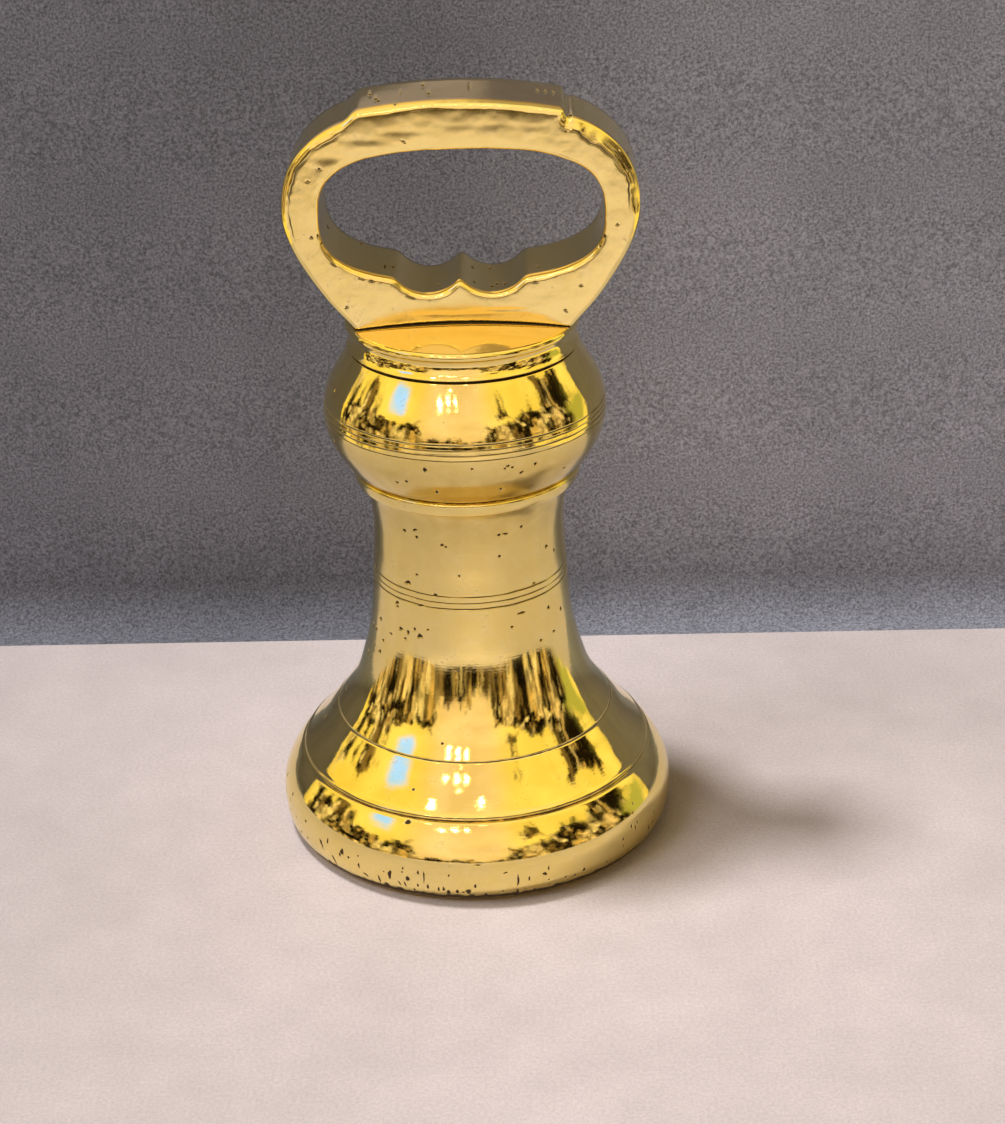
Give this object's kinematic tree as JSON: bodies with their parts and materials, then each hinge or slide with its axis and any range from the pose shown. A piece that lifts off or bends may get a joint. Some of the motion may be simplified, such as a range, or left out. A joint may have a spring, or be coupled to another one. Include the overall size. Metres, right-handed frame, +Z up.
{
  "type": "scale weight",
  "caption": "Turned brass bell weight for balance scales, with a flat cast loop handle pinned into its collar and lead adjusting fill in its underside.",
  "frame": {"origin": "on the turning axis, on the plane the weight stands on", "axes": "+Z up along the turning axis; X along the width of the loop handle; Y through the finger hole, with -Y the front seen in the picture"},
  "size_m": [0.1142, 0.1142, 0.2172],
  "materials": {
    "body_brass": "polished",
    "handle_brass": "polished",
    "pin_brass": "satin",
    "lead": "matte"
  },
  "bodies": {
    "root": {"bell_body": "body_brass", "handle": "handle_brass", "cross_pin": "pin_brass", "adjusting_lead": "lead"}
  },
  "joints": []
}
